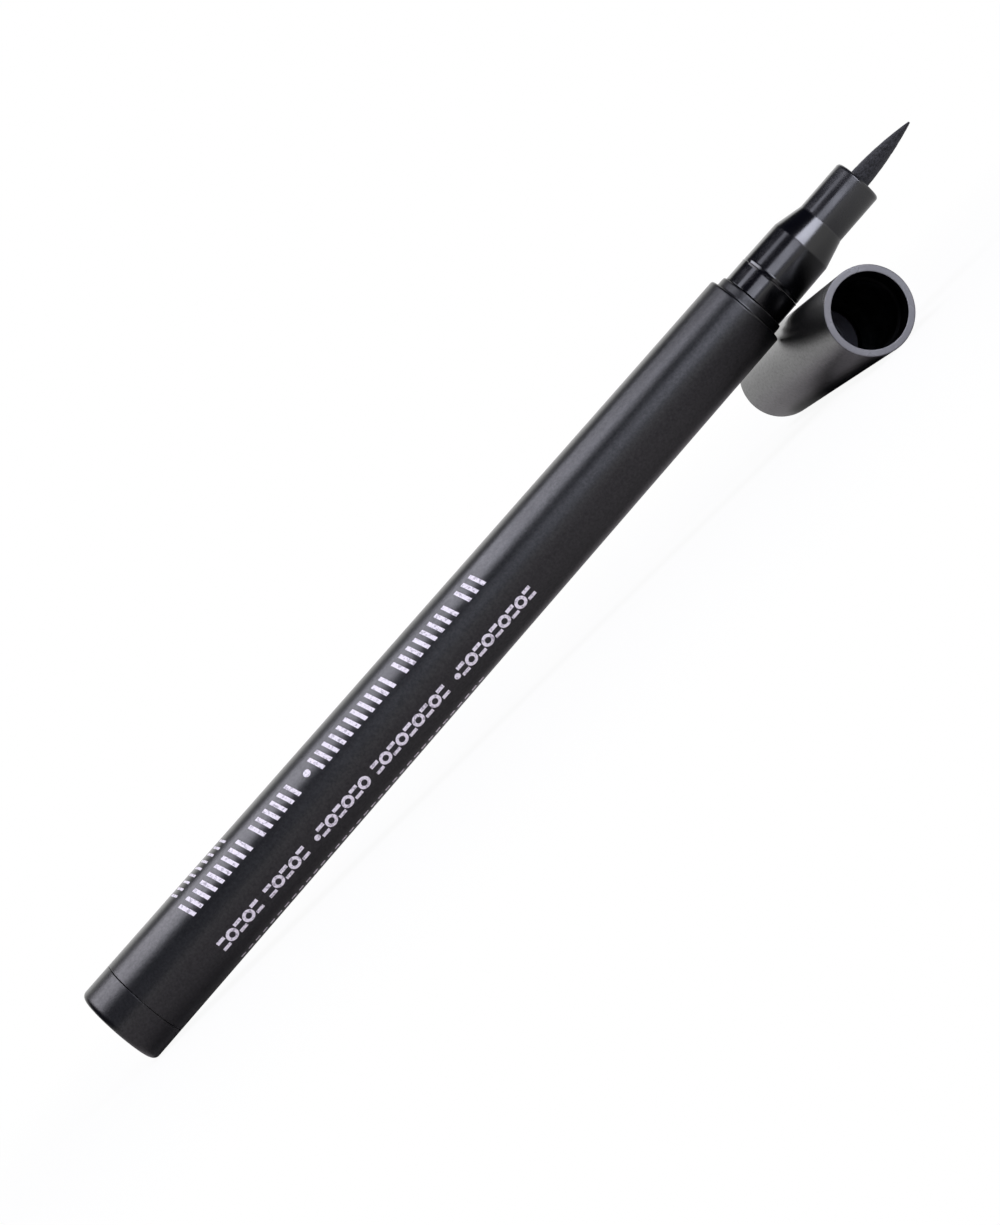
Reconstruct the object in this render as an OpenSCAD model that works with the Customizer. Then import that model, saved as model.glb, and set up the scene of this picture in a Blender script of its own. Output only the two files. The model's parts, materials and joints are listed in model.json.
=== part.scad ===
// Liquid eyeliner pen with its cap taken off.
// The pen's rear end stands on the table, and the front of its barrel rests across the cap, which lies
// on its side. +Z is up, +X runs along the pen towards the felt tip, and the origin is the middle of the
// footprint. All lengths are in millimetres.

/* [Barrel] */
// Length from the crown of the rear end to the shoulder where the cap stops
barrel_len = 100; // [92:0.2:108]
// Outer diameter at the rear end
rear_d = 10.2; // [9.8:0.1:11]
// Outer diameter at the shoulder
front_d = 9.2; // [9:0.1:9.6]
// Bore that holds the ink reservoir
barrel_bore_d = 8.1; // [7.9:0.05:8.2]
// Rounding of the barrel's front edge
front_edge_r = 0.25; // [0.1:0.05:0.4]
// Length of the matt collar in front of the shoulder
collar_len = 1.1; // [1:0.1:1.8]
// Diameter of the collar where it leaves the shoulder
collar_base_d = 7.84; // [7.6:0.02:7.9]
// Length of the narrow front bore that grips the neck
neck_socket_len = 8; // [6:0.5:10]
// Height of the ribs that centre the reservoir
reservoir_rib_h = 0.25; // [0.15:0.05:0.35]
// Width of one reservoir rib
reservoir_rib_w = 0.6; // [0.4:0.1:1]
// Number of reservoir ribs
reservoir_ribs = 6; // [3:1:8]

/* [Rear plug] */
// Length of the plug's visible head, crown included
plug_head_len = 4.5; // [3.5:0.1:5.5]
// Rounding of the rear edge
rear_edge_r = 0.9; // [0.4:0.05:1.1]
// Height of the crown on the rear end
rear_crown_h = 0.27; // [0.1:0.01:0.4]
// Length of the plug's spigot inside the barrel
plug_spigot_len = 8; // [5:0.5:10]
// Wall of the plug's spigot
plug_wall = 0.9; // [0.7:0.1:1.2]
// Width of the air slots in the spigot
plug_slot_w = 1; // [0.6:0.1:1.4]
// Number of those slots
plug_slots = 4; // [2:2:6]
// Height of the snap ring on the spigot, which presses into the barrel's groove
plug_ring_h = 0.12; // [0.08:0.02:0.2]

/* [Neck] */
// Diameter of the glossy neck
neck_d = 7.3; // [7.2:0.02:7.4]
// Visible length of the neck, bead included
neck_len = 2.8; // [2.4:0.1:3.4]
// Height of the bead that the cap snaps over
bead_h = 0.08; // [0.06:0.01:0.12]
// Length of the bead
bead_len = 0.3; // [0.25:0.05:0.6]
// Step from the neck down to its spigot inside the barrel
neck_step = 0.45; // [0.35:0.05:0.55]
// Wall of the spigot round the nib holder's stem
neck_wall = 0.6; // [0.5:0.05:0.7]

/* [Nib holder] */
// Width of the open joint between the neck and the holder
joint_gap_len = 0.3; // [0.2:0.05:0.6]
// Depth of that joint
joint_depth = 0.2; // [0.2:0.05:0.4]
// Step from the neck down to the rear of the skirt
skirt_inset = 0.01; // [0.01:0.01:0.05]
// How much the skirt narrows on each side towards its front
skirt_drop = 0.09; // [0.05:0.01:0.15]
// Length of the skirt
skirt_len = 4.6; // [3.8:0.1:5.2]
// Length of the cone between the skirt and the nozzle
cone_len = 3.2; // [2.6:0.1:4]
// Diameter of the nozzle
nozzle_d = 5.5; // [5.2:0.02:5.7]
// Length of the nozzle
nozzle_len = 6; // [5:0.1:7]
// Rounding of the nozzle's front edge
nozzle_edge_r = 0.35; // [0.2:0.05:0.5]
// Depth of the dish round the felt in the nozzle's front face
nozzle_dish = 0.12; // [0.05:0.01:0.2]
// Length of the stem that plugs into the neck
stem_len = 9; // [7:0.5:11]
// Width of the air grooves along the stem
air_groove_w = 0.7; // [0.5:0.1:0.9]
// Number of those grooves
air_grooves = 2; // [1:1:4]

/* [Felt tip] */
// Diameter of the felt rod
felt_d = 2.34; // [2.2:0.02:2.4]
// Length of the felt in front of the nozzle
felt_out_len = 8.05; // [7:0.05:9]
// Length of the felt's curve that lies hidden in the nozzle
felt_curve_hidden = 1.15; // [0.5:0.05:2]
// Rounding at the very point
felt_point_r = 0.13; // [0.08:0.01:0.2]
// How far the felt rod reaches into the reservoir
felt_in_reservoir = 9; // [6:0.5:12]

/* [Reservoir] */
// Thickness of the film round the fibre
film_wall = 0.12; // [0.08:0.02:0.2]

/* [Cap] */
// Length of the cap
cap_len = 41.5; // [38:0.5:46]
// Wall at the mouth
cap_wall = 0.735; // [0.68:0.005:0.85]
// How much the cap narrows on each side towards the closed end
cap_end_drop = 0.2; // [0.1:0.02:0.3]
// Rounding of the closed end
cap_end_r = 0.5; // [0.3:0.05:0.8]
// Height of the crown on the closed end
cap_crown_h = 0.25; // [0.1:0.01:0.4]
// Room on each side between the mouth's bore and the collar
collar_play = 0.095; // [0.06:0.005:0.15]
// Step from the mouth's bore down to the bore behind the snap ring
deep_bore_step = 0.115; // [0.08:0.005:0.15]
// Rounding of the mouth's outer lip
mouth_edge_r = 0.15; // [0.1:0.05:0.3]
// Chamfer of the mouth's inner lip
lip_chamfer = 0.12; // [0.05:0.01:0.2]
// Room on each side between the neck and the ring that snaps over its bead
snap_ring_play = 0.04; // [0.02:0.01:0.05]
// Length of that ring at its crest
snap_ring_len = 0.3; // [0.2:0.05:0.5]
// Thickness of the closed end
cap_end_wall = 1.4; // [1:0.1:2]
// Height of the ring that keeps the inner cap in
keeper_ring_h = 0.25; // [0.2:0.01:0.3]
// Length of the keeper ring at its crest
keeper_ring_len = 0.4; // [0.3:0.05:0.6]
// Width of the ribs that the spring stands on
spring_rib_w = 0.7; // [0.5:0.1:1]
// How far those ribs reach under the coil, measured inwards from its middle
spring_rib_hold = 0.2; // [0.1:0.05:0.4]
// Number of those ribs
spring_ribs = 4; // [3:1:6]

/* [Inner cap] */
// Length of the sealing tube in front of the flange
seal_tube_len = 2.7; // [2:0.1:3]
// Travel of the inner cap against its spring
inner_cap_travel = 1.2; // [0.8:0.1:1.4]
// Room on each side between the flange and the cap's bore
flange_play = 0.1; // [0.06:0.01:0.12]
// Thickness of the flange
flange_t = 0.9; // [0.7:0.1:1.2]
// Length of the guide skirt behind the flange
guide_len = 2.2; // [1.5:0.1:3]
// Wall of the guide skirt
guide_wall = 0.4; // [0.3:0.05:0.5]
// Room on each side between the felt and the well that takes its point
well_play = 0.18; // [0.13:0.01:0.25]
// Wall of the well and of its sealing lip
well_wall = 0.45; // [0.4:0.05:0.6]
// Thickness of the well's closed end
well_end_t = 0.8; // [0.6:0.1:1.2]
// Clear space between the felt's point and the bottom of the well
felt_clear = 1.2; // [0.8:0.1:2]
// Amount by which the closed pen pushes the inner cap in
seal_squeeze = 0.3; // [0.1:0.05:0.5]

/* [Spring] */
// Diameter of the spring wire
wire_d = 0.45; // [0.35:0.05:0.5]
// Room on each side between the coils and the well inside them
coil_play = 0.475; // [0.3:0.025:0.5]
// Number of turns
turns = 8; // [6:1:9]
// Clear space left between all the turns when the inner cap is pushed right in
spring_reserve = 4.95; // [3:0.05:6]

/* [Placing] */
// Distance from the shoulder to the place where the pen crosses the cap
cross_ahead = 3.44; // [2.4:0.02:3.8]
// Depth below the cap's mouth at which the pen crosses it
cross_depth = 20.26; // [18:0.02:24]
// Turn of the cap from square across the pen, in degrees
cap_yaw = 12; // [6:0.5:20]
// Clear gap between the pen and the cap it leans on
rest_gap = 0.15; // [0.12:0.01:0.3]

/* [Hidden] */
$fn = 96;
// Facets of the wide arcs, which are seen over a few degrees only
crown_steps = 360;

// Small clearances and shared steps
// Radial clearance between pieces that are pushed together and stay together
fit_gap = 0.01;
// Overrun of every cut past the faces it opens
cut = 0.5;
// Length over which a snap ring rises from its bore
ring_flank = 0.3;
// Lead-in chamfer on spigots
lead_in = 0.3;
// Length of the taper where the barrel's bore narrows to the neck's socket
bore_taper_len = 2;

// Barrel
rear_r = rear_d / 2;
front_r = front_d / 2;
barrel_bore_r = barrel_bore_d / 2;
rear_ring = rear_crown_h + rear_edge_r;
taper = (rear_r - front_r) / (barrel_len - rear_ring);
seam_r = rear_r - taper * (plug_head_len - rear_ring);
shoulder = barrel_len;
collar_base_r = collar_base_d / 2;
neck_r = neck_d / 2;
neck_spigot_r = neck_r - neck_step;
socket_r = neck_spigot_r + fit_gap;
socket_start = shoulder + collar_len - neck_socket_len;
snap_groove_pos = plug_head_len + plug_spigot_len - lead_in - 2 * ring_flank;

// Neck and nib holder, as distances from the crown of the rear end
neck_start = shoulder + collar_len;
neck_end = neck_start + neck_len;
bead_r = neck_r + bead_h;
neck_bore_r = neck_spigot_r - neck_wall;
joint_r = neck_r - joint_depth;
skirt_rear_r = neck_r - skirt_inset;
skirt_front_r = skirt_rear_r - skirt_drop;
skirt_start = neck_end + joint_gap_len;
skirt_end = skirt_start + skirt_len;
cone_end = skirt_end + cone_len;
nozzle_end = cone_end + nozzle_len;
stem_r = neck_bore_r - fit_gap;
nozzle_r = nozzle_d / 2;
nozzle_face_r = nozzle_r - nozzle_edge_r;
stem_start = neck_end - stem_len;
felt_r = felt_d / 2;
felt_bore_r = felt_r + fit_gap;
felt_end = nozzle_end + felt_out_len;
felt_curve_start = nozzle_end - felt_curve_hidden;
felt_point = felt_end - felt_point_r;
felt_curve_r = crown_radius(felt_point - felt_curve_start, felt_r - felt_point_r);

// Reservoir
reservoir_r = barrel_bore_r - reservoir_rib_h - fit_gap;
core_r = reservoir_r - film_wall;
reservoir_start = plug_head_len + plug_spigot_len;
reservoir_end = socket_start - bore_taper_len;
felt_start = reservoir_end - felt_in_reservoir;
rib_root = reservoir_rib_h / 2;

// Cap, as distances from the mouth
cap_bore_r = collar_base_r + collar_play;
cap_mouth_r = cap_bore_r + cap_wall;
cap_end_outer_r = cap_mouth_r - cap_end_drop;
cap_ring = cap_len - cap_crown_h - cap_end_r;
deep_bore_r = cap_bore_r - deep_bore_step;
snap_ring_r = neck_r + snap_ring_play;
snap_crest = collar_len + neck_len - bead_len - snap_ring_len;
snap_start = snap_crest - ring_flank;
snap_end = snap_crest + snap_ring_len + ring_flank;
closed_face = nozzle_end - shoulder;
felt_reach = felt_end - shoulder;
seal_front = closed_face - seal_squeeze;
inner_cap_depth = seal_front + seal_tube_len;
keeper_r = deep_bore_r - keeper_ring_h;
// Clear space between the keeper ring and the flange
flange_gap = 0.06;
keeper_end = inner_cap_depth - flange_gap;
keeper_crest = keeper_end - keeper_ring_len;
keeper_start = keeper_crest - ring_flank;
cap_floor = cap_len - cap_end_wall;
spring_rib_root = cap_end_wall / 4;

// Inner cap
flange_r = deep_bore_r - flange_play;
well_bore_r = felt_r + well_play;
well_r = well_bore_r + well_wall;
well_floor = felt_reach + felt_clear;
well_end = well_floor + well_end_t;
flange_back = inner_cap_depth + flange_t;

// Spring
wire_r = wire_d / 2;
coil_r = well_r + coil_play + wire_r;
spring_len = (turns + 1) * wire_d + inner_cap_travel + spring_reserve;
spring_rib_start = flange_back + spring_len;
spring_rib_in = coil_r - spring_rib_hold;
wire_sides = 8;
steps_per_turn = 18;
spring_steps = turns * steps_per_turn;
full_turn = 360;

// Placing. The cap's cone lies along the table, so its axis sinks towards the closed end
cap_slope = (cap_mouth_r - cap_end_outer_r) / cap_ring;
cap_sink = atan(cap_slope);
cap_cross_r = cap_mouth_r - cap_slope * cross_depth;
cap_mouth_z = cap_mouth_r * cos(cap_sink);
cap_cross_z = cap_mouth_z - cross_depth * sin(cap_sink);
cap_crest_z = cap_cross_z + cap_cross_r / cos(cap_sink);
cross_along = barrel_len + cross_ahead;
// The first estimate of the pen's slope takes the neck as what lies on the cap
first_tilt = asin((cap_crest_z + neck_r - rear_r) / cross_along);
neck_rest_z = cap_crest_z + neck_r / cos(first_tilt);
// The barrel's front edge meets the cap's flank behind the crossing
edge_off = (cross_ahead * cos(first_tilt) - front_r * sin(first_tilt)) * cos(cap_yaw);
edge_rest_z = cap_cross_z + sqrt(cap_cross_r * cap_cross_r - edge_off * edge_off)
    + front_r * cos(first_tilt) + cross_ahead * sin(first_tilt);
cross_z = max(neck_rest_z, edge_rest_z) + rest_gap;
pen_z = (rear_r - rear_edge_r) * cos(first_tilt) + rear_edge_r - rear_ring * sin(first_tilt);
pen_tilt = asin((cross_z - pen_z) / cross_along);

// Footprint, whose middle is the origin
x_low = rear_ring * cos(pen_tilt) - (rear_r - rear_edge_r) * sin(pen_tilt) - rear_edge_r;
x_high = felt_end * cos(pen_tilt);
cross_x = cross_along * cos(pen_tilt);
y_low = (mouth_edge_r - cross_depth) * cos(cap_yaw) - (cap_mouth_r - mouth_edge_r) * sin(cap_yaw) - mouth_edge_r;
y_high = (cap_ring - cross_depth) * cos(cap_yaw) + (cap_end_outer_r - cap_end_r) * sin(cap_yaw) + cap_end_r;
origin_x = (x_low + x_high) / 2;
origin_y = (y_low + y_high) / 2;
mouth_x = cross_x + cross_depth * sin(cap_yaw) - origin_x;
mouth_y = -cross_depth * cos(cap_yaw) - origin_y;

// Radius of the arc that rises by the given height over the given half width
function crown_radius(half_width, height) = (half_width * half_width + height * height) / (2 * height);

// Stands the pen's own axis, which is drawn along +Z from the rear face, in its place
module in_pen() {
    translate([-origin_x, -origin_y, pen_z]) rotate([0, 90 - pen_tilt, 0]) children();
}

// Lays the cap's own axis, which is drawn along +Z from the mouth inwards, in its place
module in_cap() {
    translate([mouth_x, mouth_y, cap_mouth_z]) rotate([0, 90 + cap_sink, 90 + cap_yaw]) children();
}

// Tube or rod of revolution between two heights
module ring(r_out, r_in, from, to) {
    difference() {
        translate([0, 0, from]) cylinder(h = to - from, r = r_out);
        translate([0, 0, from - cut]) cylinder(h = to - from + 2 * cut, r = r_in);
    }
}

// Evenly spaced ribs or slots round the axis, reaching from the axis outwards
module spokes(count, width, reach, from, to) {
    for (i = [0 : count - 1])
        rotate([0, 0, i * full_turn / count])
            translate([0, -width / 2, from]) cube([reach, width, to - from]);
}

// Quarter disc that rounds an outer edge in a turned outline, on the side that faces +Z or the other one
module edge_round(at_r, at_z, radius, upper) {
    translate([at_r, at_z]) intersection() {
        circle(r = radius);
        translate([0, upper ? 0 : -radius]) square([radius, radius]);
    }
}

// Crowned end of a turned outline, with its apex at 0 and its body towards +Z
module crowned_end(outer_r, edge_r, crown_h) {
    flat_r = outer_r - edge_r;
    arc_r = crown_radius(flat_r, crown_h);
    intersection() {
        translate([0, arc_r]) circle(r = arc_r, $fn = crown_steps);
        square([flat_r, crown_h]);
    }
    translate([0, crown_h]) square([flat_r, edge_r]);
    edge_round(flat_r, crown_h + edge_r, edge_r, false);
}

// Long tapered shell with a matt collar at its front, a rib bore and a socket for the neck
module barrel() {
    color([0.15, 0.15, 0.16]) in_pen() difference() {
        union() {
            difference() {
                union() {
                    translate([0, 0, plug_head_len])
                        cylinder(h = shoulder - front_edge_r - plug_head_len,
                            r1 = seam_r, r2 = front_r + taper * front_edge_r);
                    barrel_front_edge();
                    translate([0, 0, shoulder]) cylinder(h = collar_len, r1 = collar_base_r, r2 = neck_r);
                }
                translate([0, 0, plug_head_len - cut])
                    cylinder(h = socket_start - bore_taper_len - plug_head_len + cut, r = barrel_bore_r);
                translate([0, 0, socket_start - bore_taper_len])
                    cylinder(h = bore_taper_len, r1 = barrel_bore_r, r2 = socket_r);
            }
            reservoir_rails();
        }
        translate([0, 0, socket_start - bore_taper_len]) cylinder(h = neck_socket_len + bore_taper_len + cut,
            r = socket_r);
        plug_snap_groove();
    }
}

// Rounded edge where the barrel ends at the shoulder
module barrel_front_edge() {
    edge_r = front_r + taper * front_edge_r;
    translate([0, 0, shoulder - front_edge_r]) rotate_extrude() {
        square([edge_r - front_edge_r, front_edge_r]);
        edge_round(edge_r - front_edge_r, 0, front_edge_r, true);
    }
}

// Ribs along the bore that keep the reservoir central and let air past it
module reservoir_rails() {
    intersection() {
        spokes(reservoir_ribs, reservoir_rib_w, barrel_bore_r + rib_root, reservoir_start, reservoir_end);
        ring(barrel_bore_r + rib_root, barrel_bore_r - reservoir_rib_h, reservoir_start, reservoir_end);
    }
}

// Groove in the barrel that the plug's ring snaps into
module plug_snap_groove() {
    translate([0, 0, snap_groove_pos]) rotate_extrude()
        polygon([[0, -ring_flank], [barrel_bore_r, -ring_flank], [barrel_bore_r + plug_ring_h, 0],
            [barrel_bore_r, ring_flank], [0, ring_flank]]);
}

// Plug that closes the rear of the barrel, with a hollow slotted spigot
module rear_plug() {
    spigot_r = barrel_bore_r - fit_gap;
    spigot_end = plug_head_len + plug_spigot_len;
    color([0.13, 0.13, 0.14]) in_pen() difference() {
        rotate_extrude() {
            crowned_end(rear_r, rear_edge_r, rear_crown_h);
            polygon([[0, rear_ring], [rear_r, rear_ring], [seam_r, plug_head_len], [spigot_r, plug_head_len],
                [spigot_r, snap_groove_pos - ring_flank],
                [spigot_r + plug_ring_h, snap_groove_pos],
                [spigot_r, snap_groove_pos + ring_flank],
                [spigot_r, spigot_end - lead_in], [spigot_r - lead_in, spigot_end], [0, spigot_end]]);
        }
        translate([0, 0, plug_head_len]) cylinder(h = plug_spigot_len + cut, r = spigot_r - plug_wall);
        spokes(plug_slots, plug_slot_w, rear_r, plug_head_len + plug_wall, spigot_end + cut);
    }
}

// Glossy neck pressed into the barrel, with the bead for the cap and the bore for the nib holder
module neck() {
    spigot_start = socket_start;
    color([0.05, 0.05, 0.055]) in_pen() difference() {
        rotate_extrude() polygon([[0, spigot_start], [neck_spigot_r - lead_in, spigot_start],
            [neck_spigot_r, spigot_start + lead_in], [neck_spigot_r, neck_start],
            [neck_r, neck_start], [neck_r, neck_end - bead_len],
            [bead_r, neck_end - bead_len / 2], [neck_r, neck_end], [0, neck_end]]);
        translate([0, 0, spigot_start - cut])
            cylinder(h = neck_end - spigot_start + 2 * cut, r = neck_bore_r);
    }
}

// Nib holder: a stem in the neck, then the skirt, the cone and the nozzle round the felt
module nib_holder() {
    groove_in = felt_bore_r + (stem_r - felt_bore_r) / 2;
    color([0.06, 0.06, 0.065]) in_pen() difference() {
        union() {
            rotate_extrude() polygon([[0, stem_start], [stem_r - lead_in, stem_start],
                [stem_r, stem_start + lead_in], [stem_r, neck_end],
                [joint_r, neck_end], [joint_r, skirt_start],
                [skirt_rear_r, skirt_start], [skirt_front_r, skirt_end],
                [nozzle_r, cone_end], [nozzle_r, nozzle_end - nozzle_edge_r],
                [nozzle_face_r, nozzle_end - nozzle_edge_r], [nozzle_face_r, nozzle_end], [0, nozzle_end]]);
            rotate_extrude() edge_round(nozzle_face_r, nozzle_end - nozzle_edge_r, nozzle_edge_r, true);
        }
        translate([0, 0, stem_start - cut])
            cylinder(h = nozzle_end - stem_start + 2 * cut, r = felt_bore_r);
        translate([0, 0, nozzle_end - nozzle_dish])
            cylinder(h = nozzle_dish, r1 = felt_bore_r, r2 = nozzle_face_r);
        translate([0, 0, stem_start - cut]) difference() {
            spokes(air_grooves, air_groove_w, neck_bore_r + cut, 0, neck_end - stem_start);
            cylinder(h = stem_len + 2 * cut, r = groove_in);
        }
    }
}

// Felt rod from inside the reservoir to its sharp ogive point
module felt_tip() {
    color([0.2, 0.2, 0.21]) in_pen() rotate_extrude() {
        translate([0, felt_start]) square([felt_r, felt_curve_start - felt_start]);
        intersection() {
            translate([felt_r - felt_curve_r, felt_curve_start]) circle(r = felt_curve_r, $fn = crown_steps);
            translate([0, felt_curve_start]) square([felt_r, felt_point - felt_curve_start]);
        }
        edge_round(0, felt_point, felt_point_r, true);
    }
}

// Fibre rod that stores the ink, with a hole for the tail of the felt
module ink_reservoir() {
    color([0.1, 0.1, 0.12]) in_pen() difference() {
        translate([0, 0, reservoir_start]) cylinder(h = reservoir_end - reservoir_start, r = core_r);
        translate([0, 0, felt_start - fit_gap])
            cylinder(h = felt_in_reservoir + cut, r = felt_bore_r);
    }
}

// Clear film wrapped round the fibre rod
module reservoir_film() {
    color([0.75, 0.78, 0.8, 0.5]) in_pen()
        ring(reservoir_r, core_r + fit_gap, reservoir_start, reservoir_end);
}

// Tapered shell of the cap, with the snap ring, the keeper ring and the ribs for the spring
module cap_shell() {
    color([0.3, 0.3, 0.31]) in_cap() union() {
        difference() {
            rotate_extrude() {
                square([cap_mouth_r - mouth_edge_r, mouth_edge_r]);
                edge_round(cap_mouth_r - mouth_edge_r, mouth_edge_r, mouth_edge_r, false);
                polygon([[0, mouth_edge_r], [cap_mouth_r, mouth_edge_r], [cap_end_outer_r, cap_ring], [0, cap_ring]]);
                translate([0, cap_len]) mirror([0, 1]) crowned_end(cap_end_outer_r, cap_end_r, cap_crown_h);
            }
            rotate_extrude() polygon([[0, -cut], [cap_bore_r + lip_chamfer, -cut],
                [cap_bore_r + lip_chamfer, 0], [cap_bore_r, lip_chamfer],
                [cap_bore_r, snap_start],
                [snap_ring_r, snap_crest], [snap_ring_r, snap_crest + snap_ring_len],
                [deep_bore_r, snap_end], [deep_bore_r, keeper_start],
                [keeper_r, keeper_crest], [keeper_r, keeper_end], [deep_bore_r, keeper_end],
                [deep_bore_r, cap_floor], [0, cap_floor]]);
        }
        difference() {
            spokes(spring_ribs, spring_rib_w, deep_bore_r + spring_rib_root,
                spring_rib_start, cap_floor + spring_rib_root);
            translate([0, 0, spring_rib_start - cut])
                cylinder(h = cap_floor - spring_rib_start + 2 * cut, r = spring_rib_in);
        }
    }
}

// Inner cap: a flange with a sealing lip for the nozzle and a closed well for the felt's point
module inner_cap() {
    color([0.42, 0.43, 0.46]) in_cap() difference() {
        union() {
            translate([0, 0, seal_front]) cylinder(h = well_end - seal_front, r = well_r);
            translate([0, 0, inner_cap_depth]) cylinder(h = flange_t, r = flange_r);
            ring(flange_r, flange_r - guide_wall, flange_back - fit_gap, flange_back + guide_len);
        }
        translate([0, 0, seal_front - cut]) cylinder(h = well_floor - seal_front + cut, r = well_bore_r);
    }
}

// Depth of the middle of the wire: the first and last turns lie close, and the others climb evenly
function coil_rise(turn) = min(max((turn - 1) / (turns - 2), 0), 1);
function coil_z(turn) = flange_back + fit_gap + wire_r
    + wire_d * (min(turn, 1) + max(turn - turns + 1, 0))
    + (spring_len - 2 * fit_gap - 3 * wire_d) * coil_rise(turn);

// Point on the wire's skin, on the given side of it
function wire_point(step, side) =
    let (turn = step / steps_per_turn, angle = full_turn * turn, lean = full_turn * side / wire_sides,
        reach = coil_r + wire_r * cos(lean))
    [reach * cos(angle), reach * sin(angle), coil_z(turn) + wire_r * sin(lean)];

// Coil spring round the well, between the flange and the cap's ribs
module inner_cap_spring() {
    points = [for (i = [0 : spring_steps], j = [0 : wire_sides - 1]) wire_point(i, j)];
    skin = [for (i = [0 : spring_steps - 1], j = [0 : wire_sides - 1])
        let (k = (j + 1) % wire_sides, low = i * wire_sides, high = low + wire_sides)
        [low + j, low + k, high + k, high + j]];
    first_end = [for (j = [wire_sides - 1 : -1 : 0]) j];
    last_end = [for (j = [0 : wire_sides - 1]) spring_steps * wire_sides + j];
    color([0.75, 0.75, 0.77]) in_cap()
        polyhedron(points = points, faces = concat(skin, [first_end, last_end]));
}

barrel();
rear_plug();
neck();
nib_holder();
felt_tip();
ink_reservoir();
reservoir_film();
cap_shell();
inner_cap();
inner_cap_spring();
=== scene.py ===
"""Looks of a felt-tip liquid eyeliner pen that leans on its own cap.

Lengths are typed in millimetres, and MM turns them into metres. Both axes come from the
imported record.
"""
import json
import math

import bpy
from mathutils import Matrix, Vector, noise


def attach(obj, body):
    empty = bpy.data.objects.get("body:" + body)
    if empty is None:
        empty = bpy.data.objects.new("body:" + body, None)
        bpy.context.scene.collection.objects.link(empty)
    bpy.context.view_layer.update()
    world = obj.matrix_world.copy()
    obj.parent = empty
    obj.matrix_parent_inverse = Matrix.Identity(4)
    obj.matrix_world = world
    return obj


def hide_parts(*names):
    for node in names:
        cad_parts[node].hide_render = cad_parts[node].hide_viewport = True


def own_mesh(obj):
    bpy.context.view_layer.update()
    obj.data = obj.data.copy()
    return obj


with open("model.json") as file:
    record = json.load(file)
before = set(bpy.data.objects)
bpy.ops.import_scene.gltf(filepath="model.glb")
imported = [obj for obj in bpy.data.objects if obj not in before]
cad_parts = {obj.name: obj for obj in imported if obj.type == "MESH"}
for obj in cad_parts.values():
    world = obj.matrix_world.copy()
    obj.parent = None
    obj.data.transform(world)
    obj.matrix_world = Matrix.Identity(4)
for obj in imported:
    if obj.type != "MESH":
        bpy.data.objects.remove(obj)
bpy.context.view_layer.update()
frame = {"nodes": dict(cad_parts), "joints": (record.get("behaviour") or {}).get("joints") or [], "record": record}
MM = 0.001

# Sizes of the pen, as in the solids but for the roundings of some edges
BARREL_LEN = 100.0
REAR_R = 5.1
FRONT_R = 4.6
REAR_EDGE_R = 0.9
REAR_CROWN_H = 0.27
REAR_RING = REAR_CROWN_H + REAR_EDGE_R
FRONT_EDGE_R = 0.25
PLUG_HEAD_LEN = 4.5
SPIGOT_END = 12.5
SPIGOT_WALL = 0.9
BARREL_BORE_R = 4.05
SOCKET_R = 3.21
SOCKET_LEN = 6.9
BORE_TAPER = 2.0
COLLAR_LEN = 1.1
COLLAR_BASE_R = 3.92
NECK_R = 3.65
NECK_LEN = 2.8
NECK_SPIGOT_R = 3.2
NECK_SPIGOT_LEN = 8.0
NECK_SPIGOT_EDGE_R = 0.2
NECK_BORE_R = 2.6
STEM_R = 2.59
STEM_LEN = 9.0
JOINT_LEN = 0.3
SKIRT_LEN = 4.6
SKIRT_REAR_R = 3.64
SKIRT_FRONT_R = 3.55
SKIRT_EDGE_R = 0.9
CONE_LEN = 3.2
CONE_FOOT_R = 0.5
NOZZLE_LEN = 6.0
NOZZLE_R = 2.75
NOZZLE_EDGE_R = 0.35
NOZZLE_DISH = 0.12
FELT_R = 1.17
FELT_OUT_LEN = 8.05
FELT_CURVE_HIDDEN = 1.15
FELT_POINT_R = 0.13
FELT_START = 82.1
NECK_START = BARREL_LEN + COLLAR_LEN
NECK_END = NECK_START + NECK_LEN
SKIRT_START = NECK_END + JOINT_LEN
SKIRT_END = SKIRT_START + SKIRT_LEN
CONE_END = SKIRT_END + CONE_LEN
NOZZLE_END = CONE_END + NOZZLE_LEN
FELT_END = NOZZLE_END + FELT_OUT_LEN

# Sizes of the cap, as in the solids but for the roundings of some edges
CAP_LEN = 41.5
CAP_MOUTH_R = 4.75
CAP_END_R = 4.55
CAP_END_EDGE_R = 0.5
CAP_CROWN_H = 0.25
CAP_END_WALL = 1.4
CAP_FLOOR = CAP_LEN - CAP_END_WALL
CAP_BORE_R = 4.015
DEEP_BORE_R = 3.9
SNAP_CREST = 3.3
SNAP_RING_LEN = 0.3
SNAP_RING_R = 3.69
RING_FLANK = 0.3
KEEPER_R = 3.65
KEEPER_LEN = 0.4
KEEPER_END = 20.34
MOUTH_EDGE_R = 0.1
MOUTH_INNER_R = 0.06
FLANGE_DEPTH = 20.4
FLANGE_R = 3.8
FLANGE_T = 0.9
FLANGE_ROOT_R = 0.2
SEAL_FRONT = 17.7
SEAL_EDGE_R = 0.12
WELL_R = 1.8
WELL_BORE_R = 1.35
WELL_FLOOR = 27.25
WELL_END = 28.05
GUIDE_LEN = 2.2
GUIDE_WALL = 0.4
GUIDE_END = FLANGE_DEPTH + FLANGE_T + GUIDE_LEN
WIRE_R = 0.225
COIL_R = 2.5
SPRING_START = FLANGE_DEPTH + FLANGE_T
SPRING_LEN = 10.2
SPRING_GAP = 0.01
SPRING_TURNS = 8

# Play between pieces that are pushed together
PLAY = 0.01

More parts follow.
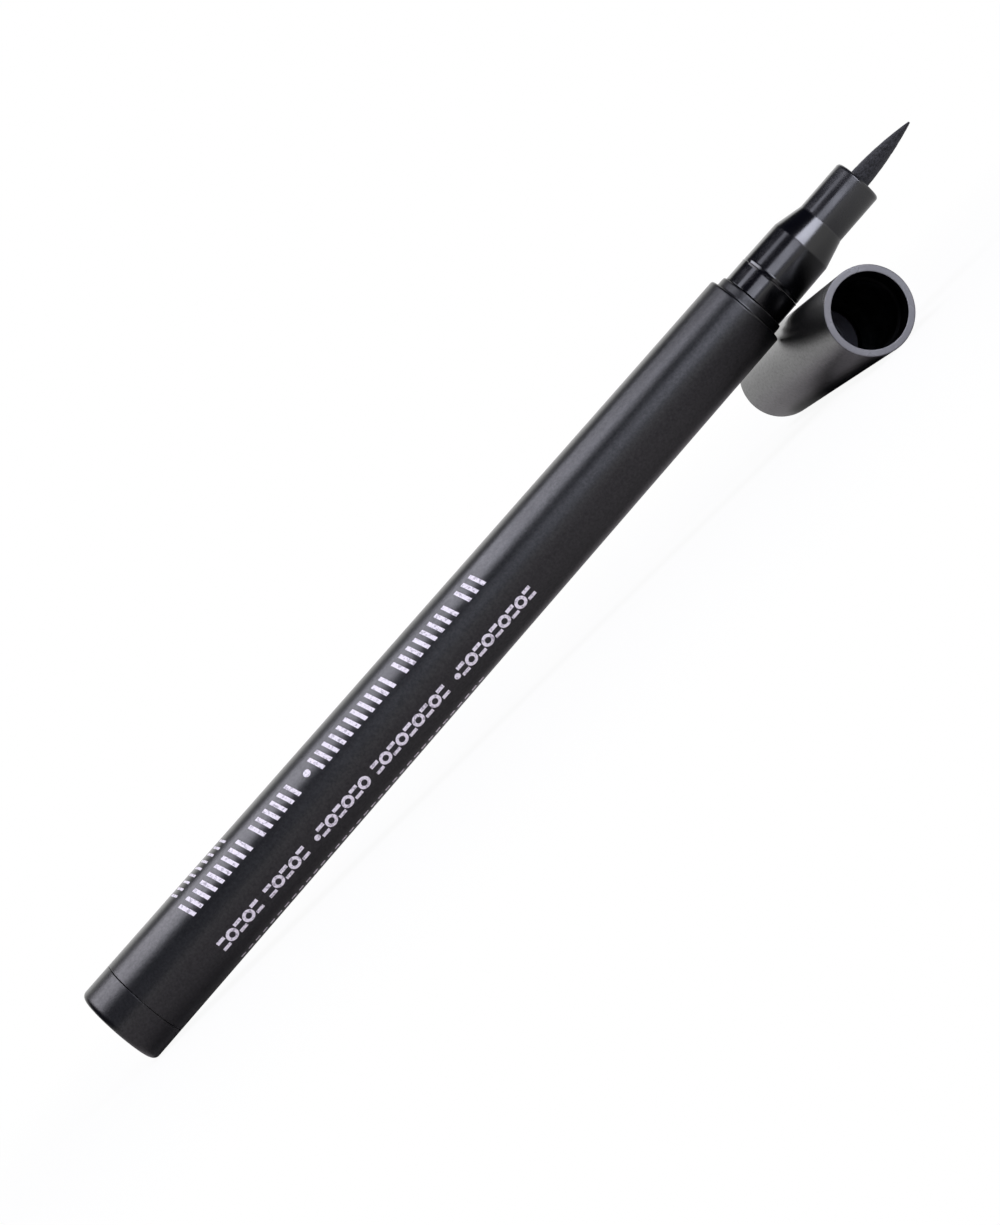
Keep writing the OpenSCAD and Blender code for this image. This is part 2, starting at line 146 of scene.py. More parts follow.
# Fine trim that the solids leave out or hold in another size, and that catches the light as thin
# lines: the plug's seam, facets at the edges of collar and skirt, groove, bead and open joint
SEAM_GAP = 0.035
SEAM_EDGE = 0.06
FACET_W = 0.13
FACET_DROP = 0.023
COLLAR_STEP = 0.05
COLLAR_TAPER = 0.02
COLLAR_CHAMFER = 0.06
COLLAR_CHAMFER_DROP = 0.12
COLLAR_MOUTH_PLAY = 0.03
GROOVE_DEPTH = 0.08
GROOVE_LEN = 0.07
GROOVE_FLANK = 0.03
BEAD_H = 0.045
BEAD_LEN = 0.2
BEAD_CREST = 0.06
BEAD_FOOT_R = 0.04
NECK_LIP = 0.02
JOINT_R = 3.595
JOINT_LIP = 0.03
SATIN_LEAD = 0.15
DISH_EDGE_R = 0.06

# The corner before a crowned end lies just past the crown's rim, so that its rounding ends on the rim
RIM_DIP = 0.02
RIM_SPREAD = 0.003

# Roundings of small edges, from crisp to soft
CRISP = 0.01
FINE = 0.02
SLIGHT = 0.03
SMALL = 0.05
SOFT = 0.1
LEAD_IN = 0.3


def record_entry(entries, name):
    return next(entry for entry in entries if entry["name"] == name)


def axis_frame(origin, direction):
    """Matrix that takes local +Z, in metres, to the given axis. Local +X points up as far as it can."""
    z = Vector(direction).normalized()
    x = (Vector((0, 0, 1)) - z * z.z).normalized()
    turn = Matrix((x, z.cross(x), z)).transposed()
    return Matrix.Translation(origin) @ turn.to_4x4()


nozzle_mount = record_entry(frame["record"]["mounts"], "nozzle")
pen_axis = Vector(nozzle_mount["axis"]).normalized()
nozzle_middle = Vector(nozzle_mount["pos_m"])
nozzle_middle_z = NOZZLE_END - NOZZLE_EDGE_R - nozzle_mount["dims"]["length_mm"] / 2
PEN = axis_frame(nozzle_middle - pen_axis * nozzle_middle_z * MM, pen_axis)
cap_joint = record_entry(frame["joints"], "cap_draw")
cap_axis = Vector(cap_joint["axis"]).normalized()
CAP = axis_frame(Vector(cap_joint["pos_m"]), cap_axis)


# Camera, at the photograph's viewing angle: its place, its turn in degrees, and its focal length in
# pixels of the photograph
CAMERA_AT = (1.158, -534.856, 30.124)
CAMERA_AZIMUTH = 0.5034
CAMERA_ELEVATION = 2.3458
CAMERA_ROLL = -44.3689
FOCAL_PIXELS = 5113.7
PHOTO_HEIGHT = 1225
SENSOR = 36.0
NEAREST_SEEN = 10.0
FARTHEST_SEEN = 20000.0


def make_camera():
    azimuth, elevation, roll = (math.radians(a) for a in (CAMERA_AZIMUTH, CAMERA_ELEVATION, CAMERA_ROLL))
    flat = math.cos(elevation)
    ahead = Vector((-math.sin(azimuth) * flat, math.cos(azimuth) * flat, -math.sin(elevation)))
    level = ahead.cross(Vector((0, 0, 1))).normalized()
    above = level.cross(ahead)
    right = level * math.cos(roll) + above * math.sin(roll)
    up = above * math.cos(roll) - level * math.sin(roll)
    data = bpy.data.cameras.new("camera")
    data.sensor_fit = "VERTICAL"
    data.sensor_height = SENSOR
    data.lens = FOCAL_PIXELS * SENSOR / PHOTO_HEIGHT
    data.clip_start = NEAREST_SEEN * MM
    data.clip_end = FARTHEST_SEEN * MM
    camera = bpy.data.objects.new("camera", data)
    bpy.context.scene.collection.objects.link(camera)
    turn = Matrix((right, up, -ahead)).transposed()
    camera.matrix_world = Matrix.Translation(Vector(CAMERA_AT) * MM) @ turn.to_4x4()
    bpy.context.scene.camera = camera


# Node helpers

# Places of the colour sockets on Blender's Mix node
MIX_A = 6
MIX_B = 7
MIX_RESULT = 2


class Nodes:
    """Short way to add nodes and links to one material or world."""

    def __init__(self, tree):
        self.tree = tree
        tree.nodes.clear()

    def add(self, kind, **settings):
        node = self.tree.nodes.new(kind)
        for key, value in settings.items():
            setattr(node, key, value)
        return node

    def link(self, out, to):
        self.tree.links.new(out, to)

    def put(self, socket, value):
        """Link the value if it is a socket, and otherwise set it."""
        if isinstance(value, bpy.types.NodeSocket):
            self.link(value, socket)
        else:
            socket.default_value = value

    def math(self, operation, *values):
        node = self.add("ShaderNodeMath", operation=operation)
        for socket, value in zip(node.inputs, values):
            self.put(socket, value)
        return node.outputs[0]

    def vector(self, operation, *values, scale=None):
        node = self.add("ShaderNodeVectorMath", operation=operation)
        for socket, value in zip(node.inputs, values):
            self.put(socket, value)
        if scale is not None:
            self.put(node.inputs["Scale"], scale)
        return node.outputs

    def parts(self, vector):
        """X and Y of a vector."""
        node = self.add("ShaderNodeSeparateXYZ")
        self.link(vector, node.inputs[0])
        return node.outputs["X"], node.outputs["Y"]

    def noise(self, vector, scale, detail=2.0, rough=0.5, distortion=0.0):
        node = self.add("ShaderNodeTexNoise")
        self.link(vector, node.inputs["Vector"])
        node.inputs["Scale"].default_value = scale
        node.inputs["Detail"].default_value = detail
        node.inputs["Roughness"].default_value = rough
        node.inputs["Distortion"].default_value = distortion
        return node.outputs["Fac"]

    def ramp(self, value, span, result=(0.0, 1.0)):
        """Value that runs over the result while the given one runs over the span."""
        node = self.add("ShaderNodeMapRange")
        self.put(node.inputs["Value"], value)
        node.inputs["From Min"].default_value, node.inputs["From Max"].default_value = span
        node.inputs["To Min"].default_value, node.inputs["To Max"].default_value = result
        return node.outputs["Result"]

    def mix_color(self, share, a, b):
        node = self.add("ShaderNodeMix", data_type="RGBA")
        self.put(node.inputs["Factor"], share)
        self.put(node.inputs[MIX_A], a)
        self.put(node.inputs[MIX_B], b)
        return node.outputs[MIX_RESULT]

    def mix_shader(self, share, a, b):
        node = self.add("ShaderNodeMixShader")
        for socket, value in zip(node.inputs, (share, a, b)):
            self.link(value, socket)
        return node.outputs[0]

    def bump(self, height, strength, distance):
        node = self.add("ShaderNodeBump")
        node.inputs["Strength"].default_value = strength
        node.inputs["Distance"].default_value = distance
        self.put(node.inputs["Height"], height)
        return node.outputs["Normal"]

    def finish(self, kind, shader):
        output = self.add(kind)
        self.link(shader, output.inputs["Surface"])


def new_material(name):
    """Material with a shader to fill in, and the position that its textures start from."""
    material = bpy.data.materials.new(name)
    material.use_nodes = True
    nodes = Nodes(material.node_tree)
    shader = nodes.add("ShaderNodeBsdfPrincipled")
    nodes.finish("ShaderNodeOutputMaterial", shader.outputs[0])
    position = nodes.add("ShaderNodeTexCoord").outputs["Object"]
    return material, nodes, shader, position


def stretched(nodes, position, direction, share):
    """Position squeezed to a share along a direction, so that a texture runs in streaks there."""
    along = nodes.vector("DOT_PRODUCT", position, direction)["Value"]
    part = nodes.vector("SCALE", direction, scale=nodes.math("MULTIPLY", along, share - 1))[0]
    return nodes.vector("ADD", position, part)[0]


def shade(color, factor):
    """The colour times a factor, with its alpha."""
    return [c * factor for c in color] + [1]


# Strength of the reflection on the plastics, and the span that most of a noise lies in
GLOSS = 0.72
MIDDLE = (0.3, 0.7)


def soft_touch(name, color, rough, grain=1.0, fleck_share=0.2, along=None):
    """Matt soft-touch lacquer: fine orange-peel grain, faint clouding and a little dust in it.

    along is the direction in which the flow of the spray has drawn the grain out."""
    material, nodes, shader, position = new_material(name)
    if along is not None:
        position = stretched(nodes, position, along, share=0.45)
    cloud = nodes.noise(position, scale=90, detail=3)
    peel = nodes.noise(position, scale=5200, detail=3, rough=0.62)
    height = nodes.math("ADD", peel, nodes.math("MULTIPLY", cloud, 0.3))
    dust = nodes.ramp(nodes.noise(position, scale=9000, rough=0.6), (0.66, 0.74))
    tone = nodes.mix_color(nodes.ramp(cloud, MIDDLE), shade(color, 0.9), shade(color, 1.1))
    nodes.link(nodes.mix_color(dust, tone, shade(color, 1.7)), shader.inputs["Base Color"])
    nodes.link(nodes.ramp(cloud, MIDDLE, (rough - 0.03, rough + 0.03)), shader.inputs["Roughness"])
    nodes.link(nodes.bump(height, strength=0.55 * grain, distance=0.014 * MM), shader.inputs["Normal"])
    fleck = nodes.noise(position, scale=3400, detail=3, rough=0.65)
    gloss = ((1 - fleck_share) * GLOSS, (1 + fleck_share) * GLOSS)
    nodes.link(nodes.ramp(fleck, MIDDLE, gloss), shader.inputs["Specular IOR Level"])
    return material


def moulded(name, color, rough, ripple=0.4, gloss=GLOSS):
    """Smooth moulded plastic with the faint waviness and wipe marks of the real surface."""
    material, nodes, shader, position = new_material(name)
    wave = nodes.noise(position, scale=700)
    smear = nodes.noise(position, scale=260, detail=4, rough=0.6, distortion=0.4)
    shader.inputs["Base Color"].default_value = shade(color, 1)
    nodes.link(nodes.ramp(smear, (0.35, 0.7), (rough * 0.8, rough * 1.25)), shader.inputs["Roughness"])
    nodes.link(nodes.bump(wave, strength=ripple, distance=0.004 * MM), shader.inputs["Normal"])
    shader.inputs["Specular IOR Level"].default_value = gloss
    return material


def pressed_fibre(name, color):
    """Ink-soaked pressed fibre: streaks along the rod, pores and lint."""
    material, nodes, shader, position = new_material(name)
    streaks = stretched(nodes, position, tuple(pen_axis), share=0.4)
    fibres = nodes.noise(streaks, scale=5600, detail=3, rough=0.7, distortion=0.6)
    pores = nodes.noise(position, scale=3400, detail=3, rough=0.7)
    depth = nodes.math("ADD", nodes.math("MULTIPLY", fibres, 0.6), nodes.math("MULTIPLY", pores, 0.4))
    tone = nodes.mix_color(nodes.ramp(depth, (0.42, 0.58)), shade(color, 0.1), shade(color, 2.5))
    nodes.link(tone, shader.inputs["Base Color"])
    shader.inputs["Roughness"].default_value = 0.92
    shader.inputs["Sheen Weight"].default_value = 0.25
    shader.inputs["Sheen Roughness"].default_value = 0.6
    nodes.link(nodes.bump(depth, strength=1.0, distance=0.09 * MM), shader.inputs["Normal"])
    return material


def film_material():
    """Thin clear film with a faint haze."""
    material, nodes, shader, position = new_material("reservoir_film_clear")
    shader.inputs["Base Color"].default_value = (0.8, 0.82, 0.85, 1)
    shader.inputs["Alpha"].default_value = 0.35
    haze = nodes.noise(position, scale=400)
    nodes.link(nodes.ramp(haze, MIDDLE, (0.15, 0.3)), shader.inputs["Roughness"])
    return material


def steel_material():
    """Drawn stainless wire."""
    material, nodes, shader, position = new_material("spring_steel")
    shader.inputs["Metallic"].default_value = 1.0
    shader.inputs["Roughness"].default_value = 0.3
    drawn = nodes.noise(position, scale=900, detail=3)
    tone = nodes.mix_color(drawn, [0.45, 0.45, 0.46, 1], [0.62, 0.62, 0.64, 1])
    nodes.link(tone, shader.inputs["Base Color"])
    return material


def print_ink():
    """White pad-printed ink, thinner in places, so that the black shows through a little."""
    material, nodes, shader, position = new_material("printed_white")
    worn = nodes.ramp(nodes.noise(position, scale=3000, detail=3, rough=0.6), (0.36, 0.5))
    tone = nodes.mix_color(worn, [0.5, 0.46, 0.5, 1], [0.97, 0.91, 0.95, 1])
    nodes.link(tone, shader.inputs["Base Color"])
    shader.inputs["Roughness"].default_value = 0.45
    return material


BLACK = (0.001, 0.001, 0.001)
POLISHED_BLACK = (0.001, 0.001, 0.0013)
barrel_paint = soft_touch("soft_touch_black", BLACK, 0.32)
collar_matt = soft_touch("collar_matt_black", BLACK, 0.34)
cap_paint = soft_touch("cap_soft_touch_black", BLACK, 0.285, grain=1.6, fleck_share=0.5,
                       along=tuple(cap_axis))
cap_bore_black = moulded("cap_bore_black", BLACK, 0.5, gloss=0.1)
# Black with its reflection almost off for the neck's groove: painted shade, so the groove shows as a dark line
groove_painted_shade = moulded("groove_painted_shade", BLACK, 0.6, gloss=0.05)
neck_gloss = moulded("neck_gloss_black", POLISHED_BLACK, 0.165, ripple=0.3)
holder_gloss = moulded("holder_gloss_black", POLISHED_BLACK, 0.195, ripple=0.2)
nozzle_satin = moulded("nozzle_satin_black", (0.014, 0.014, 0.0145), 0.235, ripple=0.2)
# Grey for the cap's mouth rim, in a satin finish: painted light, the lit face of the black rim drawn pale
rim_painted_light = moulded("cap_rim_painted_light", (0.158, 0.155, 0.158), 0.32)
inner_cap_grey = moulded("inner_cap_grey", (0.2, 0.205, 0.25), 0.35)
felt_black = pressed_fibre("felt_charcoal", (0.015, 0.015, 0.0165))
fibre_black = pressed_fibre("reservoir_fibre", (0.02, 0.02, 0.024))


# Meshes


def new_object(name, vertices, faces, materials, placing=None):
    """Object with one mesh, put in the scene. placing moves the points to their place in the frame."""
    mesh = bpy.data.meshes.new(name)
    mesh.from_pydata(vertices, [], faces)
    for material in materials:
        mesh.materials.append(material)
    if placing is not None:
        mesh.transform(placing)
    mesh.update()
    obj = bpy.data.objects.new(name, mesh)
    bpy.context.scene.collection.objects.link(obj)
    return obj


def face_outwards(mesh):
    """Turn the faces round if the volume that they enclose comes out negative."""
    if sum(p.center.dot(p.normal) * p.area for p in mesh.polygons) < 0:
        mesh.flip_normals()


# Steps round a turned piece, round a corner and along a crown
AROUND = 192
FELT_AROUND = 128
CORNER_STEPS = 7
CROWN_STEPS = 10

# An outline gets a point close beside each rounding, which keeps its flats flat, and one in each long
# step. A rounding takes less than half of the side on either hand.
SUPPORT = 0.06
MIN_STEP = 0.01
LONG_STEP = 4.0
ROUNDING_SIDE_SHARE = 0.49
NEARLY_STRAIGHT = math.radians(89)
ON_AXIS = 1e-6


def corner_arc(before, corner, after, radius):
    """Points of the arc that rounds a corner of an outline."""
    a = (before - corner).normalized()
    b = (after - corner).normalized()
    half = math.acos(max(-1, min(1, a.dot(b)))) / 2
    if radius <= 0 or half > NEARLY_STRAIGHT:
        return [corner]
    longest = ROUNDING_SIDE_SHARE * min((before - corner).length, (after - corner).length)
    reach = min(radius / math.tan(half), longest)
    radius = reach * math.tan(half)
    middle = corner + (a + b).normalized() * (radius / math.sin(half))
    first = corner + a * reach - middle
    last = corner + b * reach - middle
    turn = first.angle_signed(last)
    points = []
    for i in range(CORNER_STEPS + 1):
        angle = -turn * i / CORNER_STEPS
        c, s = math.cos(angle), math.sin(angle)
        points.append(middle + Vector((first.x * c - first.y * s, first.x * s + first.y * c)))
    return points


def outline(corners, closed):
    """Rounded outline through (z, r, rounding) corners."""
    points = [Vector((z, r)) for z, r, _ in corners]
    count = len(points)
    arcs = []
    for i, (_, _, radius) in enumerate(corners):
        loose_end = not closed and i in (0, count - 1)
        after = points[(i + 1) % count]
        arcs.append(corner_arc(points[i - 1], points[i], after, 0 if loose_end else radius))
    profile = []
    for i, arc in enumerate(arcs):
        profile.extend(arc)
        if i == count - 1 and not closed:
            break
        start, end = arc[-1], arcs[(i + 1) % count][0]
        gap = (end - start).length
        if gap > 4 * MIN_STEP:
            near = min(SUPPORT, gap / 4)
            profile.append(start.lerp(end, near / gap))
            extra = int(gap / LONG_STEP)
            profile.extend(start.lerp(end, (k + 1) / (extra + 1)) for k in range(extra))
            profile.append(start.lerp(end, 1 - near / gap))
    return profile


def rings_of(profile, around, shape):
    """Points of the rings of a turned piece, and each ring's numbers. A ring on the axis is one point."""
    vertices, rings = [], []
    for p in profile:
        first = len(vertices)
        if p.y < ON_AXIS:
            vertices.append((0, 0, p.x * MM))
            rings.append([first])
            continue
        for k in range(around):
            angle = 2 * math.pi * k / around
            z, r = shape(p.x, p.y, angle) if shape else (p.x, p.y)
            vertices.append((r * math.cos(angle) * MM, r * math.sin(angle) * MM, z * MM))
        rings.append(list(range(first, first + around)))
    return vertices, rings


def faces_between(low, high, around):
    """Faces between two neighbouring rings, of which one may be a point."""
    if len(low) == 1 and len(high) == 1:
        return []
    pairs = [(k, (k + 1) % around) for k in range(around)]
    if len(low) == 1:
        return [(low[0], high[k], high[n]) for k, n in pairs]
    if len(high) == 1:
        return [(low[n], low[k], high[0]) for k, n in pairs]
    return [(low[n], low[k], high[k], high[n]) for k, n in pairs]


def turned(name, corners, placing, body, replaced, materials,
           pick=None, around=AROUND, closed=True, shape=None):
    """Piece of revolution. corners are (z, r, rounding); pick gives a face's material from its z and r.

    shape may move a point, given as (z, r, angle), to roughen the surface."""
    profile = outline(corners, closed)
    vertices, rings = rings_of(profile, around, shape)
    count = len(profile)
    faces, zones = [], []
    for i in range(count if closed else count - 1):
        n = (i + 1) % count
        band = faces_between(rings[i], rings[n], around)
        middle = (profile[i] + profile[n]) / 2
        faces += band
        zones += [pick(middle.x, middle.y) if pick else 0] * len(band)
    obj = new_object(name, vertices, faces, materials, placing)
    for polygon, zone in zip(obj.data.polygons, zones):
        polygon.material_index = zone
        polygon.use_smooth = True
    face_outwards(obj.data)
    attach(obj, body)
    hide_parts(replaced)


def crown_points(apex, rim_z, rim_r):
    """Sharp corners along a shallow crown, from its apex on the axis up to, but without, its rim."""
    height = abs(rim_z - apex)
    radius = (rim_r ** 2 + height ** 2) / (2 * height)
    way = 1 if rim_z > apex else -1
    corners = []
    for i in range(CROWN_STEPS):
        r = rim_r * i / CROWN_STEPS
        corners.append((apex + way * (radius - math.sqrt(radius ** 2 - r ** 2)), r, 0))
    return corners


def barrel_r(z):
    """Radius of the barrel's tapered skin."""
    return REAR_R + (FRONT_R - REAR_R) * (z - REAR_RING) / (BARREL_LEN - REAR_RING)


# Pieces of the pen


def make_barrel():
    rear = PLUG_HEAD_LEN + SEAM_GAP
    facet_start = BARREL_LEN + COLLAR_STEP
    facet_end = NECK_START - COLLAR_CHAMFER
    collar_front_r = COLLAR_BASE_R - COLLAR_TAPER
    socket_end = BARREL_LEN - SOCKET_LEN
    corners = [
        (rear, BARREL_BORE_R, SMALL),
        (rear, barrel_r(PLUG_HEAD_LEN), SEAM_EDGE),
        (BARREL_LEN, FRONT_R, FRONT_EDGE_R),
        (BARREL_LEN, COLLAR_BASE_R + FACET_DROP, FINE),
        (facet_start, COLLAR_BASE_R + FACET_DROP, CRISP),
        (facet_start + FACET_W, COLLAR_BASE_R, CRISP),
        (facet_end - FACET_W, collar_front_r, CRISP),
        (facet_end, collar_front_r - FACET_DROP, FINE),
        (NECK_START, COLLAR_BASE_R - COLLAR_CHAMFER_DROP, FINE),
        (NECK_START, NECK_R + COLLAR_MOUTH_PLAY, FINE),
        (NECK_START, SOCKET_R, 0),
        (socket_end, SOCKET_R, 0),
        (socket_end - BORE_TAPER, BARREL_BORE_R, 0),
    ]

    def pick(z, r):
        return 1 if z > BARREL_LEN + CRISP else 0

    turned("barrel_coated", corners, PEN, "pen", "barrel", [barrel_paint, collar_matt], pick)


def make_rear_plug():
    spigot_r = BARREL_BORE_R - PLAY
    corners = crown_points(0, REAR_CROWN_H, REAR_R - REAR_EDGE_R)
    corners += [
        (REAR_CROWN_H - RIM_DIP, REAR_R + RIM_SPREAD, REAR_EDGE_R),
        (PLUG_HEAD_LEN, barrel_r(PLUG_HEAD_LEN), SEAM_EDGE),
        (PLUG_HEAD_LEN, spigot_r, FINE),
        (SPIGOT_END, spigot_r, LEAD_IN),
        (SPIGOT_END, spigot_r - SPIGOT_WALL, SMALL),
        (PLUG_HEAD_LEN, spigot_r - SPIGOT_WALL, SOFT),
        (PLUG_HEAD_LEN, 0, 0),
    ]
    turned("rear_plug_coated", corners, PEN, "pen", "rear_plug", [barrel_paint], closed=False)


def make_neck():
    spigot_end = NECK_START - NECK_SPIGOT_LEN
    groove_end = NECK_START + GROOVE_LEN
    corners = [
        (spigot_end, NECK_BORE_R, 0),
        (spigot_end, NECK_SPIGOT_R, NECK_SPIGOT_EDGE_R),
        (NECK_START, NECK_SPIGOT_R, 0),
        (NECK_START, NECK_R - GROOVE_DEPTH, 0),
        (groove_end, NECK_R - GROOVE_DEPTH, CRISP),
        (groove_end + GROOVE_FLANK, NECK_R, SLIGHT),
        (NECK_END - BEAD_LEN, NECK_R, BEAD_FOOT_R),
        (NECK_END - BEAD_CREST, NECK_R + BEAD_H, SLIGHT),
        (NECK_END, NECK_R - NECK_LIP, CRISP),
        (NECK_END, NECK_BORE_R, 0),
    ]

    # The groove and the spigot hidden behind it take the black of painted shade
    def pick(z, r):
        return 1 if z < groove_end + CRISP else 0

    turned("neck_polished", corners, PEN, "pen", "neck", [neck_gloss, groove_painted_shade], pick)


def make_nib_holder():
    bore_r = FELT_R + PLAY
    lip = SKIRT_START + JOINT_LIP
    corners = [
        (NECK_END - STEM_LEN, bore_r, 0),
        (NECK_END - STEM_LEN, STEM_R, LEAD_IN),
        (NECK_END, STEM_R, 0),
        (NECK_END, JOINT_R, 0),
        (lip, SKIRT_REAR_R, SLIGHT),
        (lip + FACET_W, SKIRT_REAR_R - FACET_DROP, SLIGHT),
        (SKIRT_END, SKIRT_FRONT_R, SKIRT_EDGE_R),
        (CONE_END, NOZZLE_R, CONE_FOOT_R),
        (NOZZLE_END, NOZZLE_R, NOZZLE_EDGE_R),
        (NOZZLE_END - NOZZLE_DISH, bore_r, DISH_EDGE_R),
    ]

    def pick(z, r):
        return 1 if z > CONE_END - SATIN_LEAD and r > bore_r + FINE else 0

    turned("nib_holder_moulded", corners, PEN, "pen", "nib_holder", [holder_gloss, nozzle_satin],
           pick)


# Felt: steps along its curve and round its point, and the fuzz of its skin
FELT_STEPS = 150
POINT_STEPS = 6
FELT_LEAD = 0.5
FUZZ_H = 0.018
FUZZ_START = NOZZLE_END - 0.05
FUZZ_PER_MM_AROUND = 7
FUZZ_PER_MM_ALONG = 2.6
FINE_FUZZ = 2.3
FINE_FUZZ_SHARE = 0.6
FINE_FUZZ_SHIFT = Vector((7, 3, 1))
LEAST_FELT_R = 0.01


def fuzz(z, r, angle):
    """Point of the felt's skin, moved a little in or out where the felt shows."""
    if z < FUZZ_START:
        return z, r
    reach = r * FUZZ_PER_MM_AROUND
    place = Vector((math.cos(angle) * reach, math.sin(angle) * reach, z * FUZZ_PER_MM_ALONG))
    lift = noise.noise(place) + FINE_FUZZ_SHARE * noise.noise(place * FINE_FUZZ + FINE_FUZZ_SHIFT)
    return z, max(r + FUZZ_H * lift, LEAST_FELT_R)


def make_felt_tip():
    curve_start = NOZZLE_END - FELT_CURVE_HIDDEN
    point = FELT_END - FELT_POINT_R
    length = point - curve_start
    drop = FELT_R - FELT_POINT_R
    radius = (length ** 2 + drop ** 2) / (2 * drop)
    corners = [(FELT_START, 0, 0), (FELT_START, FELT_R, SOFT), (curve_start - FELT_LEAD, FELT_R, 0)]
    for i in range(FELT_STEPS + 1):
        x = length * i / FELT_STEPS
        corners.append((curve_start + x, FELT_R - radius + math.sqrt(radius ** 2 - x ** 2), 0))
    for i in range(1, POINT_STEPS + 1):
        angle = math.pi / 2 * i / POINT_STEPS
        corners.append((point + FELT_POINT_R * math.sin(angle), FELT_POINT_R * math.cos(angle), 0))
    turned("felt_tip_pressed", corners, PEN, "pen", "felt_tip", [felt_black],
           around=FELT_AROUND, closed=False, shape=fuzz)


# Pieces of the cap


def make_cap():
    rim = CAP_LEN - CAP_CROWN_H
    keeper_start = KEEPER_END - KEEPER_LEN
    ring_end = SNAP_CREST + SNAP_RING_LEN
    corners = [
        (CAP_FLOOR, 0, 0),
        (CAP_FLOOR, DEEP_BORE_R, LEAD_IN),
        (KEEPER_END, DEEP_BORE_R, FINE),
        (KEEPER_END, KEEPER_R, SLIGHT),
        (keeper_start, KEEPER_R, SMALL),
        (keeper_start - RING_FLANK, DEEP_BORE_R, SOFT),
        (ring_end + RING_FLANK, DEEP_BORE_R, SOFT),
        (ring_end, SNAP_RING_R, SOFT),
        (SNAP_CREST, SNAP_RING_R, SOFT),
        (SNAP_CREST - RING_FLANK, CAP_BORE_R, SOFT),
        (0, CAP_BORE_R, MOUTH_INNER_R),
        (0, CAP_MOUTH_R, MOUTH_EDGE_R),
        (rim + RIM_DIP, CAP_END_R - RIM_SPREAD, CAP_END_EDGE_R),
    ]
    corners += reversed(crown_points(CAP_LEN, rim, CAP_END_R - CAP_END_EDGE_R))

    def pick(z, r):
        if r < CAP_BORE_R + PLAY and MOUTH_INNER_R < z < CAP_FLOOR + SOFT:
            return 1
        # The mouth's rim face takes the grey of painted light
        return 2 if z < MOUTH_EDGE_R / 2 else 0

    turned("cap_shell_coated", corners, CAP, "cap", "cap_shell",
           [cap_paint, cap_bore_black, rim_painted_light], pick, closed=False)


def make_inner_cap():
    flange_back = FLANGE_DEPTH + FLANGE_T
    guide_bore_r = FLANGE_R - GUIDE_WALL
    corners = [
        (WELL_FLOOR, 0, 0),
        (WELL_FLOOR, WELL_BORE_R, LEAD_IN),
        (SEAL_FRONT, WELL_BORE_R, SOFT),
        (SEAL_FRONT, WELL_R, SEAL_EDGE_R),
        (FLANGE_DEPTH, WELL_R, FLANGE_ROOT_R),
        (FLANGE_DEPTH, FLANGE_R, SMALL),
        (GUIDE_END, FLANGE_R, SMALL),
        (GUIDE_END, guide_bore_r, SMALL),
        (flange_back, guide_bore_r, SOFT),
        (flange_back, WELL_R, SOFT),
        (WELL_END, WELL_R, SOFT),
        (WELL_END, 0, 0),
    ]
    turned("inner_cap_moulded", corners, CAP, "inner_cap", "inner_cap", [inner_cap_grey],
           closed=False)


# Steps round one turn of the spring, and sides of its wire
TURN_STEPS = 40
WIRE_SIDES = 12


def coil_z(turn):
    """Depth of the middle of the wire: the first and last turns lie close, and the others climb evenly."""
    close = min(turn, 1) + max(turn - SPRING_TURNS + 1, 0)
    rise = min(max((turn - 1) / (SPRING_TURNS - 2), 0), 1)
    climb = SPRING_LEN - 2 * SPRING_GAP - 6 * WIRE_R
    return SPRING_START + SPRING_GAP + WIRE_R * (1 + 2 * close) + climb * rise


def make_spring():
    """Wire spring behind the inner cap."""
    vertices, faces = [], []
    count = SPRING_TURNS * TURN_STEPS
    for i in range(count + 1):
        angle = 2 * math.pi * i / TURN_STEPS
        middle = coil_z(i / TURN_STEPS)
        for j in range(WIRE_SIDES):
            lean = 2 * math.pi * j / WIRE_SIDES
            reach = COIL_R + WIRE_R * math.cos(lean)
            z = middle + WIRE_R * math.sin(lean)
            vertices.append(Vector((reach * math.cos(angle), reach * math.sin(angle), z)) * MM)
    for i in range(count):
        low, high = i * WIRE_SIDES, (i + 1) * WIRE_SIDES
        for j in range(WIRE_SIDES):
            k = (j + 1) % WIRE_SIDES
            faces.append((low + j, high + j, high + k, low + k))
    faces.append(tuple(range(WIRE_SIDES)))
    faces.append(tuple(reversed(range(count * WIRE_SIDES, (count + 1) * WIRE_SIDES))))
    obj = new_object("spring_wound", vertices, faces, [steel_material()], CAP)
    for polygon in obj.data.polygons:
        polygon.use_smooth = len(polygon.vertices) == 4
    face_outwards(obj.data)
    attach(obj, "cap")
    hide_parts("inner_cap_spring")
    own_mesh(obj)


# Plain printed marks on the barrel, in place of its lettering. Angles are in degrees: 0 is on top of
# the barrel and 90 faces the front. A group of 0 marks is a single dot.
PRINT_LIFT = 0.006
STROKE_STEPS = 8
DOT_STEPS = 20
DASH_STEPS = 2

# Bold row near the top, of leaning strokes
BOLD_START = 14.7
BOLD_GROUPS = (9, 6, 0, 11, 8, 3)
BOLD_ANGLES = (42.5, 67.5)
BOLD_W = 0.5
BOLD_LEAN = 0.5
BOLD_PITCH = 1.12
BOLD_SPACE = 0.9
BOLD_DOT_SPACE = 1.7
BOLD_DOT_SHIFT = 0.3
BOLD_DOT_ANGLE = 55
BOLD_DOT_R = 0.44

# Row below it, of pairs of dashes and rings by turns
RING_START = 14.6
RING_GROUPS = (5, 5, 0, 6, 9, 0, 9)
RING_ANGLE = 118
RING_R = 0.74
RING_INNER_R = 0.36
RING_PITCH = 1.3
RING_SPACE = 0.8
RING_DOT_SPACE = 1.1
RING_DOT_SHIFT = 0.1
RING_DOT_ANGLE = 119
RING_DOT_R = 0.36
PAIR_ANGLES = (112, 124)
PAIR_W = 0.42
PAIR_REACH = 0.52

